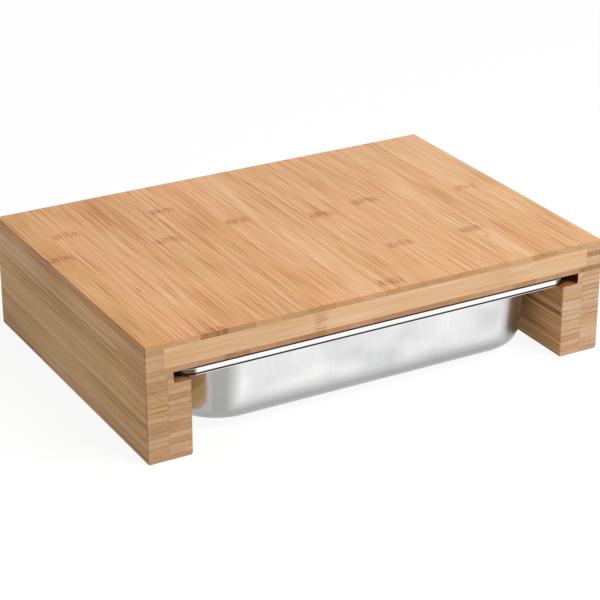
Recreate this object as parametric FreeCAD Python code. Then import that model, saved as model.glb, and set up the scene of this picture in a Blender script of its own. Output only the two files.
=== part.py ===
import FreeCAD, Part
import math
import os

# A bamboo chopping board that stands on two side legs like a low bridge. A deep-drawn steel tray
# hangs under it by its rolled rim, in a groove along the inner side of each leg, and slides out
# of either long side. Millimetres. X runs along the board, Y from the front to the back and Z up.
# The origin is on the resting surface, under the middle of the board.

# ---- Block: overall size -------------------------------------------------------------------
board_length = 380.0
board_depth = 265.0
board_height = 90.0

# ---- Panel: three plies, the outer two with their grain along Y and the core's along X ------
top_ply = 4.0
core_ply = 15.0
bottom_ply = 4.0
lipping_width = 14.0

# ---- Legs: an outer and an inner column, each a beam of strips laid flat on each other --------
leg_thickness = 34.5
outer_column_width = 16.5
groove_depth = 13.5
groove_height = 8.5
groove_corner_radius = 2.0

# ---- Number of strips in each ply -----------------------------------------------------------
top_strips = 18
core_staves = 13
bottom_strips = 19

# ---- Eased edges of the finished block ------------------------------------------------------
top_edge_radius = 1.0
foot_edge_radius = 1.8
face_edge_chamfer = 0.6

# ---- Tray: one steel sheet, drawn deep, with a flange that ends in a rolled and flattened rim --
sheet = 0.8
rim_height = 6.0
rim_width = 4.4
rim_edge_radius = 1.3
rim_corner_radius = 18.0
rim_crease_height = 1.15
rim_crease_width = 0.8
rim_crease_depth = 0.5
rim_lip_radius = 0.6
wall_corner_radius = 47.0
wall_draft = 4.5
shoulder_radius = 3.0
floor_radius = 13.0
front_flange = 10.0

# ---- Clearances of the tray in the block ----------------------------------------------------
rim_hang_gap = 0.3
rim_side_gap = 2.0
rim_setback = 2.5
wall_leg_gap = 2.5
under_tray_gap = 6.0

# ---- Places that follow from the sizes above ------------------------------------------------
side = board_length / 2
front = -board_depth / 2
back = board_depth / 2
top_ply_bottom = board_height - top_ply
core_bottom = top_ply_bottom - core_ply
leg_top = core_bottom - bottom_ply
leg_inside = side - leg_thickness
column_joint = side - outer_column_width
groove_wall = leg_inside + groove_depth
groove_floor = leg_top - groove_height

rim_side = groove_wall - rim_side_gap
rim_back = back - rim_setback
rim_bottom = groove_floor + rim_hang_gap
rim_top = rim_bottom + rim_height
wall_side = leg_inside - wall_leg_gap
wall_back = rim_back - front_flange
tray_bottom = under_tray_gap

axis_z = FreeCAD.Vector(0, 0, 1)


def point(x, z):
    """A point of an upright section, which is drawn in the XZ plane."""
    return FreeCAD.Vector(x, 0, z)


def about(centre, radius, angle):
    """The point of a section at this radius and angle (degrees up from +X) about a centre."""
    turn = math.radians(angle)
    return centre + point(radius * math.cos(turn), radius * math.sin(turn))


def arc(centre, radius, start, end):
    """Arc of a section between two angles, through the middle of its sweep."""
    middle = (start + end) / 2
    ends = [about(centre, radius, angle) for angle in (start, middle, end)]
    return Part.Arc(*ends).toShape()


def line(start, end):
    return Part.makeLine(start, end)


def box(x_span, y_span, z_span):
    """Block between the low and high value on each axis."""
    corner = FreeCAD.Vector(x_span[0], y_span[0], z_span[0])
    return Part.makeBox(x_span[1] - x_span[0], y_span[1] - y_span[0], z_span[1] - z_span[0], corner)


def slices(low, high, count):
    """Spans of the equal strips that fill a width."""
    width = (high - low) / count
    return [(low + width * index, low + width * (index + 1)) for index in range(count)]


def mirrored(shape):
    """The same shape on the other side of the board's middle plane."""
    return shape.mirror(FreeCAD.Vector(0, 0, 0), FreeCAD.Vector(1, 0, 0))


# ---- Wooden block ---------------------------------------------------------------------------

def half_outline():
    """Front outline of the block's right half, from the middle of its top to its underside."""
    top_round = point(side - top_edge_radius, board_height - top_edge_radius)
    foot_outside = point(side - foot_edge_radius, foot_edge_radius)
    foot_inside = point(leg_inside + foot_edge_radius, foot_edge_radius)
    groove_corner = point(groove_wall - groove_corner_radius, groove_floor + groove_corner_radius)
    return [
        line(point(0, board_height), about(top_round, top_edge_radius, 90)),
        arc(top_round, top_edge_radius, 90, 0),
        line(about(top_round, top_edge_radius, 0), about(foot_outside, foot_edge_radius, 0)),
        arc(foot_outside, foot_edge_radius, 0, -90),
        line(about(foot_outside, foot_edge_radius, -90), about(foot_inside, foot_edge_radius, -90)),
        arc(foot_inside, foot_edge_radius, -90, -180),
        line(about(foot_inside, foot_edge_radius, 180), point(leg_inside, groove_floor)),
        line(point(leg_inside, groove_floor), about(groove_corner, groove_corner_radius, -90)),
        arc(groove_corner, groove_corner_radius, -90, 0),
        line(about(groove_corner, groove_corner_radius, 0), point(groove_wall, leg_top)),
        line(point(groove_wall, leg_top), point(0, leg_top)),
    ]


def face_edges(block):
    """Edges round the front and back faces, apart from those of the grooves and the underside."""
    edges = []
    for edge in block.Edges:
        bounds = edge.BoundBox
        on_face = min(abs(bounds.YMax - front), abs(bounds.YMin - back)) < 1e-6 and bounds.YLength < 1e-6
        in_groove = bounds.ZMin > groove_floor - 1e-6 and bounds.ZMax < leg_top + 1e-6
        if on_face and not in_groove:
            edges.append(edge)
    return edges


def finished_block():
    """The whole outside of the glued and machined block: a long profile with eased end faces."""
    edges = half_outline()
    edges += [mirrored(edge) for edge in edges]
    outline = Part.Wire(Part.__sortEdges__(edges))
    outline.translate(FreeCAD.Vector(0, front, 0))
    block = Part.Face(outline).extrude(FreeCAD.Vector(0, board_depth, 0))
    return block.makeChamfer(face_edge_chamfer, face_edges(block))


def trimmed(block, x_span, y_span, z_span):
    """One piece of the glue-up: a blank that is machined with the block, so it ends at its surface."""
    return box(x_span, y_span, z_span).common(block).Solids[0]


def top_ply_nodes(block):
    """Strips of the work surface, side by side along the board."""
    nodes = {}
    for index, x_span in enumerate(slices(-side, side, top_strips)):
        strip = trimmed(block, x_span, (front, back), (top_ply_bottom, board_height))
        nodes["top_strip_%02d" % (index + 1)] = strip
    return nodes


def core_nodes(block):
    """Staves of the core, from front to back between the two lippings."""
    nodes = {}
    length = (-side + lipping_width, side - lipping_width)
    for index, y_span in enumerate(slices(front, back, core_staves)):
        stave = trimmed(block, length, y_span, (core_bottom, top_ply_bottom))
        nodes["core_stave_%02d" % (index + 1)] = stave
    return nodes


def bottom_ply_nodes(block):
    """Strips of the underside, over the tray and the legs."""
    strips = []
    for x_span in slices(-side, side, bottom_strips):
        strips.append(trimmed(block, x_span, (front, back), (leg_top, core_bottom)))
    return {"bottom_strips": Part.makeCompound(strips)}


def side_nodes(block):
    """Beams at the right end, all with their grain along Y, and the same on the left.

    The lipping closes the core's end. The outer column carries the panel to the ground, and
    the inner column beside it has the groove for the tray's rim machined into its top.
    """
    depth = (front, back)
    right = {
        "lipping": trimmed(block, (side - lipping_width, side), depth, (core_bottom, top_ply_bottom)),
        "outer_column": trimmed(block, (column_joint, side), depth, (0, leg_top)),
        "inner_column": trimmed(block, (leg_inside, column_joint), depth, (0, leg_top)),
    }
    nodes = {}
    for name, shape in right.items():
        nodes["right_" + name] = shape
        nodes["left_" + name] = mirrored(shape)
    return nodes


# ---- Steel tray -----------------------------------------------------------------------------

def carried_round(section, axis_x, axis_y):
    """Carry a section round a rounded rectangle, as four straight runs and four quarter turns.

    The section is drawn in the XZ plane with its corner's upright axis at x = 0. The corner
    axes stand at (axis_x, axis_y) and its three mirror places.
    """
    pieces = []
    for quarter in range(4):
        swapped = quarter % 2 == 1
        out, along = (axis_y, axis_x) if swapped else (axis_x, axis_y)
        corner = section.revolve(FreeCAD.Vector(0, 0, 0), axis_z, 90)
        straight = section.extrude(FreeCAD.Vector(0, -2 * along, 0))
        for piece in (corner, straight):
            piece.translate(FreeCAD.Vector(out, along, 0))
            piece.rotate(FreeCAD.Vector(0, 0, 0), axis_z, 90 * quarter)
            pieces.append(piece)
    return pieces


def plate(axis_x, axis_y, radius, z_span):
    """Flat sheet with the outline of a rounded rectangle."""
    height = z_span[1] - z_span[0]
    slab = box((-axis_x - radius, axis_x + radius), (-axis_y, axis_y), z_span)
    slabs = [box((-axis_x, axis_x), (-axis_y - radius, axis_y + radius), z_span)]
    for corner_x in (-axis_x, axis_x):
        for corner_y in (-axis_y, axis_y):
            base = FreeCAD.Vector(corner_x, corner_y, z_span[0])
            slabs.append(Part.makeCylinder(radius, height, base))
    return slab.multiFuse(slabs).removeSplitter()


def wall_centres():
    """Centres of the shoulder's and the floor's bends, out from the corner's axis.

    The outer side of the wall is the straight line that touches both bends, leaning in
    towards the floor by the draft.
    """
    draft = math.radians(wall_draft)
    shoulder_z = rim_top - sheet - shoulder_radius
    floor_z = tray_bottom + floor_radius
    shoulder_out = wall_corner_radius + shoulder_radius * math.cos(draft)
    lean = (shoulder_z - floor_z) * math.sin(draft)
    floor_out = shoulder_out - (shoulder_radius + floor_radius + lean) / math.cos(draft)
    return point(shoulder_out, shoulder_z), point(floor_out, floor_z)


def wall_section(shoulder, floor_bend):
    """Section of the sheet from the flange, over the shoulder and down the wall to the floor."""
    over = shoulder_radius + sheet
    inside = floor_radius - sheet
    wall_top = 180 - wall_draft
    wall_foot = -wall_draft
    outline = [
        line(about(shoulder, over, 90), about(shoulder, shoulder_radius, 90)),
        arc(shoulder, shoulder_radius, 90, wall_top),
        line(about(shoulder, shoulder_radius, wall_top), about(floor_bend, floor_radius, wall_foot)),
        arc(floor_bend, floor_radius, wall_foot, -90),
        line(about(floor_bend, floor_radius, -90), about(floor_bend, inside, -90)),
        arc(floor_bend, inside, -90, wall_foot),
        line(about(floor_bend, inside, wall_foot), about(shoulder, over, wall_top)),
        arc(shoulder, over, wall_top, 90),
    ]
    return Part.Face(Part.Wire(outline))


def rim_section():
    """Section of the rolled rim: the flange's edge turned down, rolled under and pressed flat.

    The roll is closed, so it is solid here, level with the flange on top. A crease runs along
    its outer face, above the small lip that the roll ends in.
    """
    outside = rim_corner_radius
    inside = outside - rim_width
    top_round = point(outside - rim_edge_radius, rim_top - rim_edge_radius)
    lip_round = point(outside - rim_lip_radius, rim_bottom + rim_lip_radius)
    inner_round = point(inside + rim_edge_radius, rim_bottom + rim_edge_radius)
    crease_level = rim_bottom + rim_crease_height
    over_crease = point(outside, crease_level + rim_crease_width / 2)
    crease = point(outside - rim_crease_depth, crease_level)
    under_crease = point(outside, crease_level - rim_crease_width / 2)
    outline = [
        line(point(inside, rim_top), about(top_round, rim_edge_radius, 90)),
        arc(top_round, rim_edge_radius, 90, 0),
        line(about(top_round, rim_edge_radius, 0), over_crease),
        line(over_crease, crease),
        line(crease, under_crease),
        line(under_crease, about(lip_round, rim_lip_radius, 0)),
        arc(lip_round, rim_lip_radius, 0, -90),
        line(about(lip_round, rim_lip_radius, -90), about(inner_round, rim_edge_radius, -90)),
        arc(inner_round, rim_edge_radius, -90, -180),
        line(about(inner_round, rim_edge_radius, 180), point(inside, rim_top - sheet)),
        line(point(inside, rim_top - sheet), point(inside, rim_top)),
    ]
    return Part.Face(Part.Wire(outline)), inside


def tray_nodes():
    """The tray as one sheet: floor, drafted wall, flange and rolled rim."""
    shoulder, floor_bend = wall_centres()
    rim, flange_edge = rim_section()
    wall_axis = (wall_side - wall_corner_radius, wall_back - wall_corner_radius)
    rim_axis = (rim_side - rim_corner_radius, rim_back - rim_corner_radius)
    flange_level = (rim_top - sheet, rim_top)
    flange = plate(*rim_axis, flange_edge, flange_level)
    flange = flange.cut(plate(*wall_axis, shoulder.x, flange_level))
    floor = plate(*wall_axis, floor_bend.x, (tray_bottom, tray_bottom + sheet))
    pieces = carried_round(wall_section(shoulder, floor_bend), *wall_axis)
    pieces += carried_round(rim, *rim_axis)
    pieces.append(flange)
    return {"tray": floor.multiFuse(pieces).removeSplitter().Solids[0]}


def main():
    block = finished_block()
    nodes = {}
    nodes.update(top_ply_nodes(block))
    nodes.update(core_nodes(block))
    nodes.update(bottom_ply_nodes(block))
    nodes.update(side_nodes(block))
    nodes.update(tray_nodes())
    os.makedirs("parts", exist_ok=True)
    for name, shape in nodes.items():
        shape.exportStep("parts/%s.step" % name)
        print(name, "solids", len(shape.Solids), "valid", shape.isValid(), "cm3", round(shape.Volume / 1000, 2))


main()
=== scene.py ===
import math

import bpy
import numpy as np
from mathutils import Matrix, Vector


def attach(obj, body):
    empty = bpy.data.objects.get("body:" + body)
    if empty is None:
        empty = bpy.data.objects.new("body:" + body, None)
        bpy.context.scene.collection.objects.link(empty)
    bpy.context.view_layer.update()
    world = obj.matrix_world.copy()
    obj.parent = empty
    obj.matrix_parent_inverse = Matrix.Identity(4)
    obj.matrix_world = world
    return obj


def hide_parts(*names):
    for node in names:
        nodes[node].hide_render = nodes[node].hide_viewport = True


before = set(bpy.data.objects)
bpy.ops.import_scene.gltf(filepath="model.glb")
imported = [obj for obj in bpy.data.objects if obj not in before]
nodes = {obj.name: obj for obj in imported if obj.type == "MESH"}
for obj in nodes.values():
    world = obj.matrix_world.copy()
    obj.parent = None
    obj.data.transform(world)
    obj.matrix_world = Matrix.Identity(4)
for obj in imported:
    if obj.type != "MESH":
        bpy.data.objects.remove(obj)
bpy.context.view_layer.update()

# Looks of a bamboo chopping board on two side legs, with a deep-drawn steel tray that hangs under it.
# Metres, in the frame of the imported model: X along the board, Y from front to back, Z up from the floor.
# The sizes below, and all lengths inside the materials, are in millimetres.

# ---- Sizes of the wooden block ----------------------------------------------------------------
BOARD_LENGTH = 380.0
BOARD_DEPTH = 265.0
CORE_TOP = 86.0
CORE_BOTTOM = 71.0
LEG_TOP = 67.0
LIPPING_SEAM = 176.0    # From the middle out to the glue line between the core and a lipping.
COLUMN_SEAM = 173.5     # From the middle out to the glue line between a leg's two columns.
BOTTOM_STRIPS = 19
LIPPING_LAYERS = 4
OUTER_LAYERS = 17
INNER_LAYERS = 16

# ---- Sizes of the tray ------------------------------------------------------------------------
SHEET = 0.8
RIM_TOP = 64.8
RIM_BOTTOM = 58.8
RIM_WIDTH = 4.4
RIM_EDGE_RADIUS = 1.3
RIM_LIP_RADIUS = 0.9
RIM_TIP = RIM_TOP - 2.5 * SHEET
RIM_HALF = (167.0, 130.0)
RIM_CORNER = 18.0
CREASE_LEVEL = RIM_BOTTOM + 1.15
CREASE_DEPTH = 0.3
CREASE_WIDTH = 0.26
WALL_HALF = (153.0, 120.0)
WALL_CORNER = 47.0
WALL_DRAFT = math.radians(4.5)
SHOULDER_RADIUS = 3.0
FLOOR_RADIUS = 13.0
TRAY_BOTTOM = 6.0


# ---- Recipes for materials --------------------------------------------------------------------

class Recipe:
    """A material, or the light of the air, under construction: short names for the nodes it is made of."""

    def __init__(self, made_for):
        self.made_for = made_for
        made_for.use_nodes = True
        self.tree = made_for.node_tree
        self.tree.nodes.clear()

    def node(self, kind, feeds=None, **settings):
        """A node with its settings, and values or other nodes' outputs fed into its sockets."""
        made = self.tree.nodes.new(kind)
        for key, value in settings.items():
            setattr(made, key, value)
        for key, value in (feeds or {}).items():
            self.feed(made.inputs[key], value)
        return made

    def feed(self, socket, value):
        """Link another node's output to a socket, or write a value into it."""
        if isinstance(value, bpy.types.NodeSocket):
            self.tree.links.new(value, socket)
        else:
            socket.default_value = value

    def math(self, operation, *values, clamp=False):
        """One step of arithmetic."""
        feeds = dict(enumerate(values))
        return self.node("ShaderNodeMath", feeds, operation=operation, use_clamp=clamp).outputs[0]

    def times(self, first, *others):
        """The product of all the values."""
        for value in others:
            first = self.math("MULTIPLY", first, value)
        return first

    def total(self, start, *terms):
        """start plus, for each (share, value), share times (value less a half)."""
        result = start
        for share, value in terms:
            centred = self.math("SUBTRACT", value, 0.5)
            result = self.math("MULTIPLY_ADD", centred, share, result)
        return result

    def gap(self, value, place):
        """How far value is from place, either way."""
        return self.math("ABSOLUTE", self.math("SUBTRACT", value, place))

    def ease(self, value, low, high, out_low=0.0, out_high=1.0):
        """A smooth step from out_low to out_high as value goes from low to high."""
        feeds = {"Value": value, "From Min": low, "From Max": high, "To Min": out_low, "To Max": out_high}
        return self.node("ShaderNodeMapRange", feeds, interpolation_type="SMOOTHSTEP").outputs[0]

    def point(self, x, y, z):
        """A vector of three numbers."""
        return self.node("ShaderNodeCombineXYZ", {0: x, 1: y, 2: z}).outputs[0]

    def split(self, vector):
        """The three numbers of a vector."""
        return self.node("ShaderNodeSeparateXYZ", {0: vector}).outputs

    def noise(self, where, detail=1.0, roughness=0.5):
        """Soft noise with bumps about one unit wide."""
        feeds = {"Vector": where, "Scale": 1.0, "Detail": detail, "Roughness": roughness}
        return self.node("ShaderNodeTexNoise", feeds, noise_dimensions="3D").outputs["Fac"]

    def cloud(self, axes, lengths, detail=1.0, roughness=0.5):
        """Soft noise with bumps as long as lengths says along each axis."""
        scaled = [self.math("DIVIDE", axis, length) for axis, length in zip(axes, lengths)]
        return self.noise(self.point(*scaled), detail, roughness)

    def toss(self, value):
        """Three random numbers that belong to one number."""
        made = self.node("ShaderNodeTexWhiteNoise", {"W": value}, noise_dimensions="1D")
        return self.node("ShaderNodeSeparateColor", {"Color": made.outputs["Color"]}).outputs

    def ramp(self, value, stops, interpolation="LINEAR"):
        """Colour that goes through (place, colour) stops."""
        made = self.node("ShaderNodeValToRGB", {"Fac": value})
        made.color_ramp.interpolation = interpolation
        elements = made.color_ramp.elements
        while len(elements) < len(stops):
            elements.new(1.0)
        for element, (place, colour) in zip(elements, sorted(stops)):
            element.position = place
            element.color = (*colour, 1.0)
        return made.outputs["Color"]

    def blend(self, share, first, second, how="MIX"):
        """Two colours mixed, or combined in another way, by a share."""
        made = self.node("ShaderNodeMix", data_type="RGBA", blend_type=how)
        self.feed(made.inputs[0], share)
        for place, colour in ((6, first), (7, second)):
            self.feed(made.inputs[place], (*colour, 1.0) if isinstance(colour, tuple) else colour)
        return made.outputs[2]

    def stain(self, colour, share, tint):
        """A colour darkened by a tint, as far as share says."""
        return self.blend(share, colour, tint, "MULTIPLY")

    def finish(self, shader, output="ShaderNodeOutputMaterial"):
        """Close the recipe with its shader and hand over what it was made for."""
        self.node(output, {"Surface": shader.outputs[0]})
        return self.made_for


def from_srgb(red, green, blue):
    """Linear colour of an sRGB colour with values up to 255."""
    parts = [value / 255 for value in (red, green, blue)]
    return tuple(p / 12.92 if p <= 0.04045 else ((p + 0.055) / 1.055) ** 2.4 for p in parts)


# ---- Bamboo: tints and kinds of wood ----------------------------------------------------------

ROSE = from_srgb(252, 234, 226)
OLIVE = from_srgb(244, 240, 218)
FLANK = from_srgb(244, 234, 208)
# Painted shade for the leg's groove and the bottom ply's underside.
PAINTED_SHADE_BROWN = from_srgb(140, 84, 58)
VESSEL = from_srgb(218, 180, 142)
# Dark glue lines, and also the painted shade of eased edges.
GLUE_AND_EDGE_SHADE = from_srgb(156, 112, 74)
MARK_PATCH = from_srgb(246, 226, 204)
MARK_TICK = from_srgb(150, 98, 62)


def long_grain(*colours):
    """Stops of a ramp for long grain, from dark to pale, of five sRGB colours."""
    return list(zip((0.0, 0.3, 0.5, 0.7, 1.0), [from_srgb(*colour) for colour in colours]))


def cut_end(*colours):
    """Stops of a ramp for cut ends, from dark to pale, of three sRGB colours."""
    return list(zip((0.0, 0.5, 1.0), [from_srgb(*colour) for colour in colours]))


# A kind of wood has colours for long grain and for cut ends, and says how much the tone of each follows
# what. On long grain, tone, streak, fibre, fine and broad are for the strip, its streaks, its coarse and
# its fine fibres, and broad clouds. On cut ends, end_tone and layers are for the strip and the cane's
# layers. The rest are strengths: sorted of how much darker and yellower the tone grows towards the left
# end, blush of rose and olive patches, vessels of the dark pores, long_joint of glue joints on long grain,
# the one for eased edges of their painted shade, and flank of the yellower sides.
HONEY = {
    "long": long_grain((180, 116, 60), (211, 153, 98), (226, 175, 124), (235, 189, 143), (246, 210, 170)),
    "end": cut_end((152, 106, 64), (206, 162, 115), (232, 198, 156)),
    "tone": 0.18, "streak": 0.27, "fibre": 0.43, "fine": 1.95, "broad": 0.60, "end_tone": 0.30,
    "layers": 0.5, "sorted": 0.11, "blush": 0.9, "vessels": 0.35, "long_joint": 0.30, "edge": 0.25,
    "flank": 1.0,
}
STRAW = dict(
    HONEY,
    long=long_grain((190, 137, 86), (214, 168, 121), (227, 186, 143), (236, 200, 160), (247, 218, 184)),
    tone=0.08, streak=0.30, fibre=0.50, fine=0.80, broad=0.55, sorted=0.0, blush=0.6, vessels=0.2, flank=0.0)
LEG = dict(
    HONEY,
    long=long_grain((158, 100, 44), (203, 149, 84), (225, 177, 114), (236, 195, 136), (248, 216, 169)),
    end=cut_end((156, 112, 74), (204, 165, 126), (230, 200, 166)),
    tone=0.25, streak=0.75, fibre=0.70, fine=1.30, broad=0.9, end_tone=0.32, layers=0.7, sorted=0.0,
    blush=0.8, long_joint=0.12, edge=0.28, flank=0.0)
PALE_LEG = dict(
    LEG,
    end=cut_end((170, 122, 82), (213, 177, 142), (234, 206, 176)),
    end_tone=0.20, layers=0.45, edge=0.2)
# Long grain of the right leg's inner column, darker as painted shade for the narrow gap beside the tray.
LEG_IN_PAINTED_SHADE = dict(
    PALE_LEG,
    long=long_grain((96, 50, 20), (184, 126, 72), (222, 166, 105), (240, 194, 138), (250, 214, 166)),
    streak=1.0)
UNDER = dict(
    LEG,
    end=cut_end((142, 98, 60), (190, 148, 110), (218, 182, 142)),
    end_tone=0.35, edge=0.2)

# ---- Bamboo: sizes of its grain ---------------------------------------------------------------

# Width across the strip and length along it.
FIBRE = (1.3, 170.0)
FINE_FIBRE = (0.6, 62.0)
STREAK = (4.0, 300.0)
BLOT = (9.0, 60.0)

# Lengths along X, Y and Z.
BROAD_CLOUD = (75.0, 110.0, 40.0)
CANE_LAYERS = (11.0, 11.0, 0.8)

LEFT_END = (-40.0, -170.0)      # Along X: where the tone starts to darken and yellow, and where it is full.
MIDDLE_TONE = 0.515             # Place on the ramp of average long grain.
YELLOWER = 5                    # How much more the left end is yellowed than darkened.
JOINT_WANDER = 0.2              # How much a glue joint strays from a straight line.
WANDER_WAVES = (0.25, 0.01, 0.12)       # Waves a millimetre of that wander: across, along and through.
JOINT_LINE = (0.05, 0.65)       # Distances from a joint where its dark line begins to fade and is gone.
SEAM_LINE = (0.1, 0.6)          # The same for a seam.
FACING = (0.5, 0.65)            # How squarely a face looks along an axis where it begins to count as such.
EDGE_TURN = (0.98, 0.80)        # Squareness to any axis where eased edges' painted shade begins and is full.
STRIP_SHIFT = 17.3              # Between the grain of one strip and the next, so that they differ.
STRIP_TOSS = 0.37               # Added to a strip's number, and below to a joint's, for luck of their own.
JOINT_TOSS = 5.81

# Marks where the cane had its nodes.
MARK_REACH = 200.0              # The furthest that a mark may lie from the middle.
MARK_MIDDLE = 0.45              # Where across the strip its arched row is furthest along, as a share.
MARK_ARCH = 7.0                 # How far the arch falls back a whole strip's width from there.
TICK_SPACING = 1.9
TICK_PATCH = (3.5, 9.0)         # Width and length of the noise that shakes the ticks.
FLECK_HALF_WIDTH = 0.7          # Of the small dark flecks on the work surface.


# ---- Bamboo: the material ---------------------------------------------------------------------

class Strips:
    """Where a point of the wood lies among strips that are glued side by side.

    The grain runs along one axis, and the strips are counted along another one, through a span given as its
    start and its length. place is how many strips from the start a point is, with a little wander, and
    index that strip's number. luck holds three random numbers of the strip, and own shifts its grain. end,
    flank and flat say how squarely the surface faces the grain's axis, the counting axis, and the axis it
    faces most.
    """

    def __init__(self, r, grain, stack, span, count, lot):
        self.r, self.grain, self.count, self.lot = r, grain, count, lot
        start, length = span
        self.pitch = length / count
        where = r.node("ShaderNodeTexCoord").outputs
        feeds = {0: where["Object"], "Scale": 1000.0}
        in_mm = r.node("ShaderNodeVectorMath", feeds, operation="SCALE").outputs[0]
        self.axes = dict(zip("XYZ", r.split(in_mm)))
        self.along, self.across = self.axes[grain], self.axes[stack]
        self.through = self.axes[({"X", "Y", "Z"} - {grain, stack}).pop()]

        waves = zip((self.across, self.along, self.through), WANDER_WAVES)
        self.drift = r.noise(r.point(*[r.times(axis, wave) for axis, wave in waves]))
        bent = r.total(self.across, (JOINT_WANDER, self.drift))
        self.place = r.math("DIVIDE", r.math("SUBTRACT", bent, start), self.pitch)
        self.index = r.math("FLOOR", self.place)
        self.luck = r.toss(r.math("ADD", self.index, lot + STRIP_TOSS))
        self.own = r.times(r.math("ADD", self.index, float(lot)), STRIP_SHIFT)

        normal = r.node("ShaderNodeVectorMath", {0: where["Normal"]}, operation="ABSOLUTE").outputs[0]
        facing = dict(zip("XYZ", r.split(normal)))
        self.end = r.ease(facing[grain], *FACING)
        self.flank = r.ease(facing[stack], *FACING)
        self.flat = r.math("MAXIMUM", r.math("MAXIMUM", facing["X"], facing["Y"]), facing["Z"])

    def grain_noise(self, wide, long, detail=1.0, roughness=0.5):
        """Noise that is wide across the strip and through it, and long along it, different in each strip."""
        r = self.r
        where = r.point(r.math("DIVIDE", self.across, wide),
                        r.math("MULTIPLY_ADD", self.along, 1 / long, self.own),
                        r.math("MULTIPLY_ADD", self.through, 1 / wide, self.own))
        return r.noise(where, detail, roughness)


def bare_wood(r, strips, wood, fibre, fine):
    """Colour of the wood by itself.

    The tone is a sum of the strip's own luck and of the noises, each with its share, and picks a colour
    from the ramp for long grain or for cut ends. Patches of rose and olive, the yellower sides and the
    pores stain it.
    """
    streak = strips.grain_noise(*STREAK, detail=2.0)
    blot = strips.grain_noise(*BLOT)
    broad = r.cloud(strips.axes.values(), BROAD_CLOUD)
    layers = r.cloud(strips.axes.values(), CANE_LAYERS, detail=2.0, roughness=0.6)
    left = r.ease(strips.axes["X"], *LEFT_END)

    long_tone = r.total(0.5, (wood["tone"], strips.luck[0]), (wood["streak"], streak), (wood["fibre"], fibre),
                        (wood["fine"], fine), (wood["broad"], broad))
    long_tone = r.total(MIDDLE_TONE - wood["sorted"] / 2, (1.0, long_tone), (-wood["sorted"], left))
    end_tone = r.total(0.5, (wood["end_tone"], strips.luck[0]), (wood["layers"], layers), (0.3, fibre))
    colour = r.blend(strips.end, r.ramp(long_tone, wood["long"]), r.ramp(end_tone, wood["end"]))

    rosy = r.total(0.35, (0.5, strips.luck[1]), (0.8, broad), (1.3, blot))
    colour = r.stain(colour, r.ease(rosy, 0.0, 1.0, 0.0, wood["blush"]), ROSE)
    yellowed = r.total(0.42, (1.0, strips.luck[2]), (-0.9, blot), (YELLOWER * wood["sorted"], left))
    colour = r.stain(colour, r.ease(yellowed, 0.3, 1.0, 0.0, wood["blush"]), OLIVE)
    colour = r.stain(colour, r.times(strips.flank, wood["flank"]), FLANK)
    return r.stain(colour, r.times(r.ease(fine, 0.58, 0.72), wood["vessels"]), VESSEL)


def glue_lines(r, strips, long_joint, end_joint, seams):
    """How strongly a dark glue line shows, be it a joint between strips or a seam between plies.

    A joint's line fades with the distance from the nearest whole place. It has its own strength, is patchy
    along its length, and is left out at the outer sides of the first and the last strip. A seam's line
    fades with the distance from a plane.
    """
    nearest = r.math("ROUND", strips.place)
    off_joint = r.times(r.gap(strips.place, nearest), strips.pitch)
    luck = r.toss(r.math("ADD", nearest, strips.lot + JOINT_TOSS))
    half = strips.count / 2
    strength = r.times(r.ease(luck[0], 0.1, 0.9, 0.15, 1.0),
                       r.ease(r.gap(nearest, half), half - 0.3, half - 0.7))
    patchy = r.ease(strips.drift, 0.35, 0.6, 0.5, 1.0)
    joint = r.math("MULTIPLY_ADD", strips.end, end_joint - long_joint, long_joint)
    line = r.times(r.ease(off_joint, *JOINT_LINE, 1.0, 0.0), strength, patchy, joint)
    for axis, place, on_long, on_end in seams:
        fading = r.ease(r.gap(strips.axes[axis], place), *SEAM_LINE, 1.0, 0.0)
        share = r.math("MULTIPLY_ADD", strips.end, on_end - on_long, on_long)
        line = r.math("MAXIMUM", line, r.times(fading, share))
    return line


def node_marks(r, strips, marks, fibre):
    """How strongly the faint patch and the dark ticks of each node mark show.

    A ramp with one step for each strip holds its mark's place in red and its strength in green. The patch
    fades with the distance along the strip from an arch, which is a parabola across it. The ticks are the
    crests of a sine wave across the strip's face, shaken and broken up by noise, and a cut end shows the
    patch as one solid mark.
    """
    known = {strip: ((place + MARK_REACH) / (2 * MARK_REACH), strength, 0.0)
             for strip, place, strength in marks}
    table = [(strip / strips.count, known.get(strip, (0.0, 0.0, 0.0))) for strip in range(strips.count)]
    centred = r.math("DIVIDE", r.math("ADD", strips.index, 0.5), float(strips.count))
    listed = r.node("ShaderNodeSeparateColor", {"Color": r.ramp(centred, table, "CONSTANT")}).outputs
    place = r.math("MULTIPLY_ADD", listed[0], 2 * MARK_REACH, -MARK_REACH)

    local = r.math("SUBTRACT", strips.place, strips.index)
    arch = r.times(r.math("POWER", r.math("SUBTRACT", local, MARK_MIDDLE), 2.0), MARK_ARCH)
    off_mark = r.math("ADD", r.math("SUBTRACT", strips.along, place), arch)
    off_mark = r.math("ABSOLUTE", r.total(off_mark, (5.0, strips.drift), (4.0, fibre)))
    patch = r.times(r.ease(off_mark, 1.0, 7.0, 0.45, 0.0), listed[1])

    face = strips.axes["X" if strips.grain == "Y" else "Z"]
    wide, long = TICK_PATCH
    shake = r.noise(r.point(r.math("DIVIDE", face, wide), r.math("DIVIDE", strips.along, long), strips.own))
    row = r.math("SINE", r.total(0.0, (2 * math.pi / TICK_SPACING, face), (9.0, shake)))
    ticks = r.times(r.ease(row, 0.1, 0.8), r.ease(shake, 0.36, 0.50), r.ease(off_mark, 2.0, 7.5, 1.0, 0.0),
                    listed[1])
    return patch, r.math("MAXIMUM", ticks, r.times(patch, strips.end))


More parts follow.
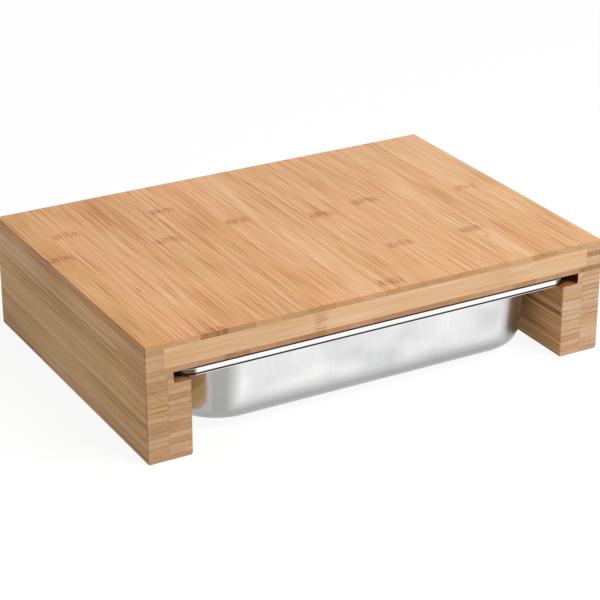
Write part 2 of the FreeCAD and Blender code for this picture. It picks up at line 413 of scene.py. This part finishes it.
def bamboo(name, grain, stack, span, count, wood, marks=(), seams=(), flecks=(), joint=0.5, lot=0,
           painted_shade=None):
    """Bamboo strips glued side by side, with their grain along one axis and counted along another one.

    Fibres, pores and colour streaks are noise drawn out along the grain, and every strip has its own. Cut
    ends have colours of their own and show the flat layers of the cane, which lie level in every strip.
    joint is the strength of a glue joint on cut ends. Eased edges are a little darker, a painted shade that
    keeps them from catching a highlight. browned gives the places where the long grain is darkened with
    painted shade, and a fleck is a short dark ellipse. lot picks other strips for another piece.
    """
    r = Recipe(bpy.data.materials.new(name))
    strips = Strips(r, grain, stack, span, count, lot)
    x, y, z = strips.axes.values()
    fibre = strips.grain_noise(*FIBRE, detail=3.0, roughness=0.6)
    fine = strips.grain_noise(*FINE_FIBRE)
    line = glue_lines(r, strips, wood["long_joint"], joint, seams)
    patch, ticks = node_marks(r, strips, marks, fibre)

    colour = bare_wood(r, strips, wood, fibre, fine)
    colour = r.stain(colour, line, GLUE_AND_EDGE_SHADE)
    # Eased edges darkened: painted shade that keeps them from catching a highlight.
    colour = r.stain(colour, r.ease(strips.flat, *EDGE_TURN, 0.0, wood["edge"]), GLUE_AND_EDGE_SHADE)
    if painted_shade:
        inside = r.times(r.ease(r.math("ABSOLUTE", x), *painted_shade["out"]), r.ease(z, *painted_shade["up"]))
        # The long grain is darkened here with painted shade.
        colour = r.stain(colour, r.times(inside, r.math("SUBTRACT", 1.0, strips.end)), PAINTED_SHADE_BROWN)
    colour = r.stain(colour, patch, MARK_PATCH)
    colour = r.stain(colour, ticks, MARK_TICK)
    for fleck_x, fleck_y, length in flecks:
        off_x = r.math("DIVIDE", r.math("SUBTRACT", x, fleck_x), FLECK_HALF_WIDTH)
        off_y = r.math("DIVIDE", r.math("SUBTRACT", y, fleck_y), length / 2)
        off = r.math("ADD", r.math("POWER", off_x, 2.0), r.math("POWER", off_y, 2.0))
        colour = r.stain(colour, r.ease(off, 0.2, 1.0, 0.7, 0.0), MARK_TICK)

    rough = r.total(0.50, (0.20, fibre), (0.12, fine))
    height = r.total(0.5, (0.5, fibre), (0.5, fine))
    height = r.math("SUBTRACT", height, r.times(r.math("ADD", line, ticks), 0.6))
    bump = r.node("ShaderNodeBump", {"Height": height, "Strength": 0.35, "Distance": 0.00025}).outputs[0]
    return r.finish(r.node("ShaderNodeBsdfPrincipled", {
        "Base Color": colour, "Roughness": rough, "Normal": bump, "Specular IOR Level": 0.35}))


# ---- Steel: the material ----------------------------------------------------------------------

SATIN_STEEL = [(0.1, (0.62, 0.625, 0.63)), (0.5, (0.825, 0.83, 0.83)), (0.85, (0.97, 0.97, 0.965))]
# Painted dark reflection where the sheet was drawn hardest, for the shadowed floor it mirrors.
PAINTED_SHADE_STEEL = (0.34, 0.34, 0.335)
POLISHED_STEEL = (0.98, 0.98, 0.98)
# Painted dark reflection of the groove, on the rim's face round its corners.
CORNER_DARK_REFLECTION = (0.12, 0.095, 0.07)
# Painted shade in the crease of the rolled rim, for its dark reflection.
CREASE_PAINTED_SHADE = (0.03, 0.02, 0.014)


def brushed_steel(name):
    """Stainless sheet, brushed along the short side of the blank that it was drawn from, with a polished rim.

    The brushing follows the flat blank through the UV map, so its lines run up the long walls. The sheet is
    The sheet is rougher where it was drawn hardest, at the corners and in the bend round the floor, and its
    colour there is darkened, a painted dark reflection of the shadowed floor. The crease of the rolled rim
    is darkened with painted shade, and the rim's face is darkened where it goes round a corner, a painted
    dark reflection of the groove.
    """
    r = Recipe(bpy.data.materials.new(name))
    u, v, _ = r.split(r.node("ShaderNodeUVMap", uv_map="blank").outputs[0])
    rim, crease, drawn, corner_dark_reflection = [r.node("ShaderNodeAttribute", attribute_name=mask).outputs["Fac"]
                                   for mask in ("rim", "crease", "drawn", "corner_dark_reflection")]

    def on_blank(waves_u, waves_v, level, detail=1.0, roughness=0.5):
        """Noise on the flat blank, with so many waves a millimetre each way, at a level of its own."""
        return r.noise(r.point(r.times(u, waves_u), r.times(v, waves_v), level), detail, roughness)

    lines = on_blank(1.6, 0.02, 0.0, detail=3.0, roughness=0.6)
    rub = on_blank(0.30, 0.02, 7.0, detail=2.0, roughness=0.6)
    # Broad clouds of paler and darker steel: partly the sheet's own mottle, partly a painted reflection of
    # soft highlights.
    cloud = on_blank(0.024, 0.040, 12.0)

    level = r.math("ABSOLUTE", r.split(r.node("ShaderNodeTexCoord").outputs["Normal"])[2])
    calm = r.math("MAXIMUM", drawn, r.ease(level, 0.4, 0.9))
    mottle = r.times(r.total(0.0, (0.22, lines), (1.20, cloud), (0.24, rub)),
                     r.math("MULTIPLY_ADD", calm, -0.65, 1.0))
    colour = r.ramp(r.math("ADD", mottle, 0.5), SATIN_STEEL)
    # The drawn mask also darkens the colour: painted dark reflection of the shadowed floor, in the bend and
    # round the corners.
    colour = r.stain(colour, r.times(drawn, 0.74), PAINTED_SHADE_STEEL)
    colour = r.blend(rim, colour, POLISHED_STEEL)
    # The rim's face round its corners is darkened: painted dark reflection of the groove.
    colour = r.blend(corner_dark_reflection, colour, CORNER_DARK_REFLECTION)
    # The crease is darkened with painted shade.
    colour = r.blend(crease, colour, CREASE_PAINTED_SHADE)

    rough = r.total(0.20, (0.10, lines), (0.08, cloud))
    rough = r.math("SUBTRACT", rough, r.times(rim, 0.12))
    rough = r.math("ADD", rough, r.times(crease, 0.4))
    rough = r.math("ADD", rough, r.times(drawn, 0.10))
    height = r.times(r.total(0.5, (0.4, lines), (1.2, cloud)), r.math("SUBTRACT", 1.0, rim))
    bump = r.node("ShaderNodeBump", {"Height": height, "Strength": 0.10, "Distance": 0.0001}).outputs[0]
    tangent = r.node("ShaderNodeTangent", direction_type="UV_MAP", uv_map="blank").outputs[0]
    return r.finish(r.node("ShaderNodeBsdfPrincipled", {
        "Base Color": colour, "Metallic": 1.0, "Roughness": rough, "Normal": bump, "Tangent": tangent,
        "Anisotropic": 0.3}))


# ---- Steel: the shape of the tray -------------------------------------------------------------

# Numbers of points, rings and steps.
EDGE_POINTS = 9
SHOULDER_POINTS = 10
BEND_POINTS = 14
WALL_POINTS = 8
FACE_POINTS = 8
CREASE_POINTS = 26
FLOOR_RINGS = 7
CORNER_STEPS = 24
SIDE_STEPS = (48, 32)

CREASE_ROWS = 1.0               # From the crease up to where the rows of the rim's face come closer together.
CREASE_DARK = (1.2, 0.9)        # Distances from the crease where its painted shade begins and is full.

# How hard the sheet was drawn, which also sets its painted dark reflection of the shadowed floor:
# heights above the tray's underside, or degrees from the nearest side, with a share for each.
BEND_DRAWN_AND_SHADE = ([0, 2, 9, 19], [0.6, 1.0, 1.0, 0.0])
FLOOR_DRAWN_AND_SHADE = 0.3
CORNER_DRAWN_AND_SHADE = ([4, 18, 30, 38], [0, 1, 1, 0.3])
WALL_DRAWN_AND_SHADE = ([1, 5], [0, 1])

# The painted dark reflection on the rim's corners: depths below the rim's top, and degrees round its corner,
# where it begins and is full.
CORNER_REFLECTION_DEPTH = ([0.3, 1.0], [0, 1])
CORNER_REFLECTION_TURN = ([2.4, 8.4], [0, 1])


def sweep(centre, radius, start, end, count):
    """Points of an arc in the section, between two angles in degrees up from the outward direction."""
    turn = np.radians(np.linspace(start, end, count))
    return np.column_stack([centre[0] + radius * np.cos(turn), centre[1] + radius * np.sin(turn)])


def joined(first, second):
    """Two arcs with a straight run of points between them."""
    return np.vstack([first, np.linspace(first[-1], second[0], WALL_POINTS + 2)[1:-1], second])


def rim_outline(inset, crease_depth):
    """One side of the rolled rim, from the flange out, down its flat face, under, and up to the curl's tip.

    It is a rounded rectangle, moved inward by the inset. Its face is pressed in along a crease, by a bell
    curve of the height. Rows are (distance out from the corner's axis, height, share of the crease's painted
    shade, which is wider than the pressed part).
    """
    right, left = RIM_CORNER - inset, RIM_CORNER - RIM_WIDTH + inset
    top, bottom = RIM_TOP - inset, RIM_BOTTOM + inset
    upper, lip = RIM_EDGE_RADIUS - inset, RIM_LIP_RADIUS - inset
    closer = CREASE_LEVEL + CREASE_ROWS
    level = np.concatenate([np.linspace(top - upper, closer, FACE_POINTS, endpoint=False),
                            np.linspace(closer, bottom + lip, CREASE_POINTS)])
    pressed = np.exp(-((level - CREASE_LEVEL) / CREASE_WIDTH) ** 2)
    begins, full = CREASE_DARK
    dark = np.clip((begins - np.abs(level - CREASE_LEVEL)) / (begins - full), 0, 1)
    face = np.column_stack([right - crease_depth * pressed, level, dark])
    rounds = [sweep((right - upper, top - upper), upper, 90, 0, EDGE_POINTS),
              sweep((right - lip, bottom + lip), lip, 0, -90, EDGE_POINTS)[1:],
              sweep((left + upper, bottom + upper), upper, -90, -180, EDGE_POINTS),
              np.array([[left, RIM_TIP]])]
    over, under, back, tip = [np.column_stack([points, np.zeros(len(points))]) for points in rounds]
    return np.vstack([over[:-1], face, under, back, tip])


def wall_rows(points):
    """Rows of the section for the floor's bend and the wall: no rim, no crease, drawn, with painted shade, as
    the height says.
    """
    none = np.zeros(len(points))
    return np.column_stack([points, none, none, np.interp(points[:, 1] - TRAY_BOTTOM, *BEND_DRAWN_AND_SHADE)])


def tray_section():
    """The sheet's section from under the floor, out over the rolled rim, and back to the floor's top.

    The floor's bend and the shoulder are arcs that a straight wall with draft joins at a tangent. Each row
    is (distance out from the corner's axis, height, share of the rim's outline, share of the crease's
    painted shade, share of the drawn bend and its painted shade). The share of the rim is 0 on the wall,
    whose corners are wide, and 1 on the rim, whose corners are tight, so the flat flange lies between the
    two.
    """
    draft = math.degrees(WALL_DRAFT)
    shoulder_z = RIM_TOP - SHEET - SHOULDER_RADIUS
    bend_z = TRAY_BOTTOM + FLOOR_RADIUS
    shoulder_out = WALL_CORNER + SHOULDER_RADIUS * math.cos(WALL_DRAFT)
    lean = (shoulder_z - bend_z) * math.sin(WALL_DRAFT)
    bend_out = shoulder_out - (SHOULDER_RADIUS + FLOOR_RADIUS + lean) / math.cos(WALL_DRAFT)
    shoulder, bend = (shoulder_out, shoulder_z), (bend_out, bend_z)

    outside = joined(sweep(bend, FLOOR_RADIUS, -90, -draft, BEND_POINTS),
                     sweep(shoulder, SHOULDER_RADIUS, 180 - draft, 90, SHOULDER_POINTS))
    inside = joined(sweep(shoulder, SHOULDER_RADIUS + SHEET, 90, 180 - draft, SHOULDER_POINTS),
                    sweep(bend, FLOOR_RADIUS - SHEET, -draft, -90, BEND_POINTS))
    rim = np.vstack([rim_outline(SHEET, 0.0), rim_outline(0.0, CREASE_DEPTH)[::-1]])
    rim = np.column_stack([rim[:, :2], np.ones(len(rim)), rim[:, 2], np.zeros(len(rim))])
    return np.vstack([wall_rows(outside), rim, wall_rows(inside)])


def outline_frame():
    """Walk round a rounded rectangle, counter-clockwise from the right-hand side.

    Gives the corner axis to follow as shares of (axis_x, axis_y), the outward direction, and how many
    degrees the outline has turned from the nearest side, for each step.
    """
    shares, outward, turned = [], [], []
    corners = [(1, -1), (1, 1), (-1, 1), (-1, -1)]
    for quarter in range(4):
        here, there = np.array(corners[quarter], float), np.array(corners[(quarter + 1) % 4], float)
        along = np.linspace(0, 1, SIDE_STEPS[1 - quarter % 2], endpoint=False)
        shares.append(here + (there - here) * along[:, None])
        turn = np.linspace(0, 90, CORNER_STEPS, endpoint=False)
        shares.append(np.repeat(there[None, :], CORNER_STEPS, 0))
        outward += [np.full(len(along), 90.0 * quarter), 90.0 * quarter + turn]
        turned += [np.zeros(len(along)), np.minimum(turn, 90 - turn)]
    angle = np.radians(np.concatenate(outward))
    return np.vstack(shares), np.column_stack([np.cos(angle), np.sin(angle)]), np.concatenate(turned)


def with_floor(values, below=0.0, above=0.0):
    """One number for each ring: those of the floor's underside, of the section and of the floor's top."""
    return np.concatenate([np.full(FLOOR_RINGS, below), values, np.full(FLOOR_RINGS, above)])


def ring_masks(section, turned):
    """Where the steel's finish and its painted shade change, as one number for each ring and step.

    crease and rim follow the section alone; the crease's share is painted shade. drawn is the greater of
    the bend's share and of the wall's, which follows the turn round the corner, and sets roughness and a
    painted dark reflection. The mask of the rim's corners is a painted dark reflection on the rim's face,
    and grows with the turn.
    """
    _, height, share, crease, bend = section.T
    upright = (1 - share) * np.interp(height - TRAY_BOTTOM, *WALL_DRAWN_AND_SHADE)
    face = (share > 0.99) * np.interp(RIM_TOP - height, *CORNER_REFLECTION_DEPTH)
    every = np.ones(len(turned))
    corner_drawn_and_shade = np.outer(with_floor(upright), np.interp(turned, *CORNER_DRAWN_AND_SHADE))
    bend_drawn_and_shade = np.outer(with_floor(bend, FLOOR_DRAWN_AND_SHADE, FLOOR_DRAWN_AND_SHADE), every)
    return {"crease": np.outer(with_floor(crease), every), "rim": np.outer(with_floor(share), every),
            "drawn": np.maximum(corner_drawn_and_shade, bend_drawn_and_shade),
            "corner_dark_reflection": np.outer(with_floor(face), np.interp(turned, *CORNER_REFLECTION_TURN))}


def ring_faces(rings, steps):
    """Faces of a sheet of rings: quads between each ring and the next, and a fan of triangles at each end.

    Corners are counted ring by ring, and the two poles come last.
    """
    ring, step = np.meshgrid(np.arange(rings - 1), np.arange(steps), indexing="ij")
    here, after = ring * steps + step, ring * steps + (step + 1) % steps
    bands = np.stack([here, after, after + steps, here + steps], -1).reshape(-1, 4)
    step = np.arange(steps)
    following = (step + 1) % steps
    pole, last_ring = rings * steps, (rings - 1) * steps
    first = np.stack([np.full(steps, pole), following, step], -1)
    last = np.stack([np.full(steps, pole + 1), last_ring + step, last_ring + following], -1)
    return [bands, first, last]


def add_to_scene(name, contents):
    """An object at the origin that holds a mesh, a lamp or a camera."""
    made = bpy.data.objects.new(name, contents)
    bpy.context.scene.collection.objects.link(made)
    return made


def make_mesh(name, vertices, face_sets, blanks, masks):
    """A smooth mesh object from arrays, with a UV map and, for each mask, one number per corner."""
    loops = np.concatenate([faces.ravel() for faces in face_sets])
    sizes = np.concatenate([np.full(len(faces), faces.shape[1]) for faces in face_sets])
    mesh = bpy.data.meshes.new(name)
    mesh.vertices.add(len(vertices))
    mesh.vertices.foreach_set("co", vertices.astype(np.float32).ravel())
    mesh.loops.add(len(loops))
    mesh.loops.foreach_set("vertex_index", loops.astype(np.int32))
    mesh.polygons.add(len(sizes))
    starts = np.concatenate([[0], np.cumsum(sizes)[:-1]])
    mesh.polygons.foreach_set("loop_start", starts.astype(np.int32))
    mesh.polygons.foreach_set("loop_total", sizes.astype(np.int32))
    mesh.update(calc_edges=True)
    mesh.shade_smooth()
    layer = mesh.uv_layers.new(name="blank")
    layer.data.foreach_set("uv", blanks[loops].astype(np.float32).ravel())
    for label, values in masks.items():
        mesh.attributes.new(label, "FLOAT", "POINT").data.foreach_set("value", values.astype(np.float32))
    mesh.validate()
    return add_to_scene(name, mesh)


def pressed_tray():
    """The tray as one closed sheet: its section carried round two rounded rectangles at once.

    A point stands at its corner's axis, which is the wall's or the rim's, plus the outward direction times
    its distance out. The flat floor is the first ring, shrunk evenly to its middle, on both sides of the
    sheet. The UV map is the flat blank in millimetres: the same walk, laid flat, with distance along the
    section in place of height.
    """
    section = tray_section()
    shares, outward, turned = outline_frame()
    out, height, share = section.T[:3]
    wall_axis = np.array(WALL_HALF) - WALL_CORNER
    rim_axis = np.array(RIM_HALF) - RIM_CORNER
    axis = wall_axis + share[:, None] * (rim_axis - wall_axis)
    rings = shares[None] * axis[:, None] + outward[None] * out[:, None, None]

    travel = np.concatenate([[0], np.cumsum(np.hypot(np.diff(out), np.diff(height)))])
    laid_out = out[0] + np.minimum(travel, travel[-1] - travel)
    flat = wall_axis * shares[None] + outward[None] * laid_out[:, None, None]

    shrink = np.linspace(0, 1, FLOOR_RINGS + 2)[1:-1]
    floor = rings[0][None] * shrink[:, None, None]
    points = np.concatenate([floor, rings, floor[::-1]])
    blank = np.concatenate([floor, flat, floor[::-1]])
    heights = with_floor(height, height[0], height[-1])
    count, steps = points.shape[:2]

    levels = np.broadcast_to(heights[:, None, None], (count, steps, 1))
    grid = np.concatenate([points, levels], 2).reshape(-1, 3)
    poles = np.array([[0, 0, height[0]], [0, 0, height[-1]]])
    vertices = np.vstack([grid, poles]) / 1000
    blanks = np.vstack([blank.reshape(-1, 2), np.zeros((2, 2))])
    masks = {name: np.append(mask.ravel(), [mask[0, 0], mask[-1, 0]])
             for name, mask in ring_masks(section, turned).items()}
    return make_mesh("pressed_tray", vertices, ring_faces(count, steps), blanks, masks)


tray = pressed_tray()
tray.data.materials.append(brushed_steel("brushed_tray_steel"))
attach(tray, "tray")
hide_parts("tray")


# ---- Wood: which piece is made of what --------------------------------------------------------

# Marks as (strip, place along it, strength), and flecks as (x, y, length).
FRONT_EDGE = -131
TOP_MARKS = [(0, 33, 0.85), (1, 73, 0.65), (2, FRONT_EDGE, 1.0), (4, 27, 0.8), (5, 81, 0.9), (7, 35, 0.8),
             (9, -119, 0.85), (10, 16, 0.8), (11, -63, 0.85), (12, 23, 0.85), (14, -66, 0.9), (16, 9, 0.65)]
TOP_FLECKS = [(-153, -45, 12), (-96, 52, 7), (118, -84, 8)]
CORE_MARKS = [(0, -52, 0.6), (12, 40, 0.6)]
BOTTOM_MARKS = [(18, FRONT_EDGE, 0.4)]
LIPPING_MARKS = {"left": [], "right": [(2, FRONT_EDGE, 0.5)]}

# Seams as (axis, place, strength on long grain, strength on cut ends).
PLY_SEAMS = [("Z", CORE_TOP, 0.25, 0.15), ("Z", CORE_BOTTOM, 0.1, 0.1), ("Z", LEG_TOP, 0.1, 0.1)]
CORE_SEAMS = [("X", -LIPPING_SEAM, 0.4, 0.3), ("X", LIPPING_SEAM, 0.2, 0.2)]

# Places of painted shade on the long grain, as the distances out from the middle, and the heights,
# between which the shade comes in. The underside is shaded all along.
GROOVE_SHADE = {"out": (152.0, 156.5), "up": (57.2, 59.4)}
UNDERSIDE_SHADE = {"out": (-2.0, -1.0), "up": (67.6, 67.1)}

# What the strips of a piece are counted through, as (start, length).
LENGTHWISE = (-BOARD_LENGTH / 2, BOARD_LENGTH)
DEPTHWISE = (-BOARD_DEPTH / 2, BOARD_DEPTH)
UP_CORE = (CORE_BOTTOM, CORE_TOP - CORE_BOTTOM)
UP_LEG = (0.0, LEG_TOP)


def dress(names, material):
    """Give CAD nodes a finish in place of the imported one."""
    for name in names:
        slots = nodes[name].data.materials
        slots.clear()
        slots.append(material)


def named(start):
    """Names of the CAD nodes that begin alike."""
    return sorted(name for name in nodes if name.startswith(start))


top_strips, core_staves = named("top_strip"), named("core_stave")
dress(top_strips, bamboo(
    "top_ply_bamboo", "Y", "X", LENGTHWISE, len(top_strips), HONEY, TOP_MARKS, PLY_SEAMS, TOP_FLECKS,
    joint=0.4))
dress(core_staves, bamboo(
    "core_bamboo", "X", "Y", DEPTHWISE, len(core_staves), STRAW, CORE_MARKS, CORE_SEAMS))
dress(named("bottom_strips"), bamboo(
    "bottom_ply_bamboo", "Y", "X", LENGTHWISE, BOTTOM_STRIPS, UNDER, BOTTOM_MARKS, PLY_SEAMS, joint=0.3,
    painted_shade=UNDERSIDE_SHADE))
# The right leg's inner column takes the darker long grain, painted shade.
for side, way, lot, wood, inner_wood in (("left", -1, 0, LEG, LEG), ("right", 1, 60, PALE_LEG, LEG_IN_PAINTED_SHADE)):
    leg_seams = PLY_SEAMS + [("X", way * COLUMN_SEAM, 0.0, 0.2)]
    dress([side + "_lipping"], bamboo(
        side + "_lipping_bamboo", "Y", "Z", UP_CORE, LIPPING_LAYERS, wood, LIPPING_MARKS[side], PLY_SEAMS,
        lot=lot))
    dress([side + "_outer_column"], bamboo(
        side + "_outer_leg_bamboo", "Y", "Z", UP_LEG, OUTER_LAYERS, wood, seams=leg_seams, joint=0.7,
        lot=lot + 10))
    dress([side + "_inner_column"], bamboo(
        side + "_inner_leg_bamboo", "Y", "Z", UP_LEG, INNER_LAYERS, inner_wood, seams=leg_seams, joint=0.7,
        lot=lot + 30, painted_shade=GROOVE_SHADE))


# ---- Floor, light and camera ------------------------------------------------------------------

FLOOR_REACH = 6.0
CAMERA_TURN = math.radians(29.328)
CAMERA_RISE = math.radians(24.646)
CAMERA_PLACE = (0.0087, 0.0715, 4.2213)     # To the right, up and back, in lengths of the board.
FOCAL_PIXELS = 2060.7                       # Focal length, for an image of the width below.
IMAGE_PIXELS = 600
SENSOR_WIDTH = 36.0


def pale_floor():
    """A wide plain floor that shows white to the eye and in reflections, and keeps the object's soft shadow.

    From below it is clear.
    """
    r = Recipe(bpy.data.materials.new("pale_floor"))
    path = r.node("ShaderNodeLightPath").outputs
    mirrored = r.math("ADD", path["Is Glossy Ray"], path["Is Transmission Ray"], clamp=True)
    share = r.math("MULTIPLY_ADD", path["Is Camera Ray"], 0.80, r.times(mirrored, 0.75), clamp=True)
    plain = r.node("ShaderNodeBsdfDiffuse", {"Color": (0.60, 0.60, 0.60, 1)}).outputs[0]
    glow = r.node("ShaderNodeEmission", {"Color": (1, 1, 1, 1), "Strength": 1.12}).outputs[0]
    lit = r.node("ShaderNodeMixShader", {0: share, 1: plain, 2: glow}).outputs[0]
    from_below = r.times(r.node("ShaderNodeNewGeometry").outputs["Backfacing"], path["Is Camera Ray"])
    clear = r.node("ShaderNodeBsdfTransparent").outputs[0]
    material = r.finish(r.node("ShaderNodeMixShader", {0: from_below, 1: lit, 2: clear}))

    corners = [(-FLOOR_REACH, -FLOOR_REACH, 0), (FLOOR_REACH, -FLOOR_REACH, 0),
               (FLOOR_REACH, FLOOR_REACH, 0), (-FLOOR_REACH, FLOOR_REACH, 0)]
    mesh = bpy.data.meshes.new("pale_floor")
    mesh.from_pydata(corners, [], [(0, 1, 2, 3)])
    mesh.materials.append(material)
    add_to_scene("pale_floor", mesh)


def studio_air():
    """Even light from all round, white where it is seen directly or mirrored."""
    r = Recipe(bpy.data.worlds.new("studio_air"))
    path = r.node("ShaderNodeLightPath").outputs
    seen = r.math("ADD", path["Is Camera Ray"], path["Is Glossy Ray"])
    seen = r.math("ADD", seen, path["Is Transmission Ray"], clamp=True)
    room = r.node("ShaderNodeBackground", {"Color": (1.0, 0.99, 0.98, 1), "Strength": 0.35}).outputs[0]
    white = r.node("ShaderNodeBackground", {"Color": (1, 1, 1, 1), "Strength": 1.0}).outputs[0]
    mixed = r.node("ShaderNodeMixShader", {0: seen, 1: room, 2: white})
    bpy.context.scene.world = r.finish(mixed, "ShaderNodeOutputWorld")


def softbox(name, place, target, side, power):
    """A square studio light that faces a point and isn't mirrored in the steel."""
    lamp = bpy.data.lights.new(name, "AREA")
    lamp.size = side
    lamp.energy = power
    made = add_to_scene(name, lamp)
    made.location = place
    made.visible_glossy = False
    made.rotation_mode = "QUATERNION"
    made.rotation_quaternion = (Vector(target) - Vector(place)).to_track_quat("-Z", "Y")


def camera():
    """Long lens, a little to the left of the front and 25 degrees up, with no shift."""
    length = BOARD_LENGTH / 1000
    level = math.cos(CAMERA_RISE)
    back = Vector((-math.sin(CAMERA_TURN) * level, -math.cos(CAMERA_TURN) * level, math.sin(CAMERA_RISE)))
    right = (-back).cross(Vector((0, 0, 1))).normalized()
    up = right.cross(-back)
    lens = bpy.data.cameras.new("camera")
    lens.sensor_width = SENSOR_WIDTH
    lens.lens = FOCAL_PIXELS / IMAGE_PIXELS * SENSOR_WIDTH
    lens.clip_start, lens.clip_end = 0.05, 50.0
    made = add_to_scene("camera", lens)
    to_right, to_up, to_back = [share * length for share in CAMERA_PLACE]
    place = right * to_right + up * to_up + back * to_back
    made.matrix_world = Matrix.Translation(place) @ Matrix((right, up, back)).transposed().to_4x4()
    bpy.context.scene.camera = made


pale_floor()
studio_air()
softbox("key_light", place=(0.95, -1.5, 1.8), target=(0, 0, 0.05), side=1.2, power=46.0)
softbox("overhead_light", place=(0, 0, 2.2), target=(0, 0, 0.05), side=3.0, power=8.0)
camera()
bpy.context.scene.view_settings.view_transform = "Standard"
